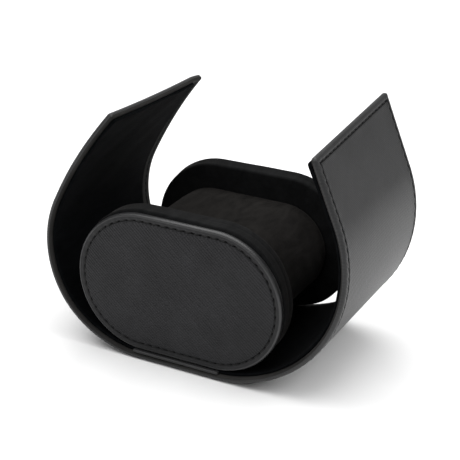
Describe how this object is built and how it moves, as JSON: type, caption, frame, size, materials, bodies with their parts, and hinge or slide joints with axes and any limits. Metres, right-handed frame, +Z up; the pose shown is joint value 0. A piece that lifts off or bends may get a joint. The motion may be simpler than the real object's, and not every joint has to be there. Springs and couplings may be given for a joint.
{
  "type": "watch travel case",
  "caption": "Open leather travel case for a wristwatch: a wrap with curved closing flaps, obround padded end caps and a lift-out suede cushion.",
  "frame": {"origin": "centre of the wrap's flat underside, midway between the end caps", "axes": "+Z up from the surface it rests on, +Y from the front cap to the rear cap, +X to the right flap"},
  "size_m": [0.1377, 0.08, 0.1076],
  "materials": {
    "smooth_leather": "fine-grain satin",
    "embossed_leather": "fine diagonal crosshatch embossing, satin",
    "lining_suede": "matt microsuede",
    "cap_suede": "matt microsuede",
    "cushion_suede": "soft brushed microsuede",
    "foam": "open-cell foam",
    "board": "grey board",
    "cap_core": "laminated board block",
    "magnet": "plated"
  },
  "bodies": {
    "case_base": {"base_leather": "smooth_leather", "base_board": "board", "base_lining": "lining_suede", "front_panel_leather": "embossed_leather", "front_panel_foam": "foam", "front_panel_board": "board", "front_cap_core": "cap_core", "front_cap_inner_board": "board", "front_cap_suede": "cap_suede", "front_hinge_tab": "smooth_leather", "rear_panel_leather": "embossed_leather", "rear_panel_foam": "foam", "rear_panel_board": "board", "rear_cap_core": "cap_core", "rear_cap_inner_board": "board", "rear_cap_suede": "cap_suede", "rear_hinge_tab": "smooth_leather"},
    "left_flap_lower": {"left_flap_lower_leather": "smooth_leather", "left_flap_lower_board": "board", "left_flap_lower_lining": "lining_suede"},
    "left_flap_upper": {"left_flap_upper_leather": "smooth_leather", "left_flap_upper_board": "board", "left_flap_upper_lining": "lining_suede", "left_flap_upper_magnets": "magnet"},
    "right_flap_lower": {"right_flap_lower_leather": "smooth_leather", "right_flap_lower_board": "board", "right_flap_lower_lining": "lining_suede"},
    "right_flap_upper": {"right_flap_upper_leather": "smooth_leather", "right_flap_upper_board": "board", "right_flap_upper_lining": "lining_suede", "right_flap_upper_magnets": "magnet"},
    "cushion": {"cushion_foam": "foam", "cushion_sleeve": "cushion_suede", "cushion_front_end": "cushion_suede", "cushion_rear_end": "cushion_suede"}
  },
  "joints": [
    {"name": "left_flap_fold", "type": "hinge", "parent": "case_base", "child": "left_flap_lower", "pos_m": [-0.04553, 0, 0.01257], "axis": [0, 1, 0], "range_deg": [-14, 20]},
    {"name": "left_flap_curl", "type": "hinge", "parent": "left_flap_lower", "child": "left_flap_upper", "pos_m": [-0.05568, 0, 0.06459], "axis": [0, 1, 0], "range_deg": [-21.8, 31.1]},
    {"name": "right_flap_fold", "type": "hinge", "parent": "case_base", "child": "right_flap_lower", "pos_m": [0.04176, 0, 0.00776], "axis": [0, -1, 0], "range_deg": [-18, 29]},
    {"name": "right_flap_curl", "type": "hinge", "parent": "right_flap_lower", "child": "right_flap_upper", "pos_m": [0.07257, 0, 0.05143], "axis": [0, -1, 0], "range_deg": [-15.7, 25.3]},
    {"name": "cushion_lift", "type": "slide", "parent": "case_base", "child": "cushion", "axis": [0.1994, 0, 0.9799], "range_m": [0, 0.11]}
  ],
  "couplings": [
    {"joint": "left_flap_curl", "follows": "left_flap_fold", "ratio": 1.55},
    {"joint": "right_flap_curl", "follows": "right_flap_fold", "ratio": 0.87}
  ]
}
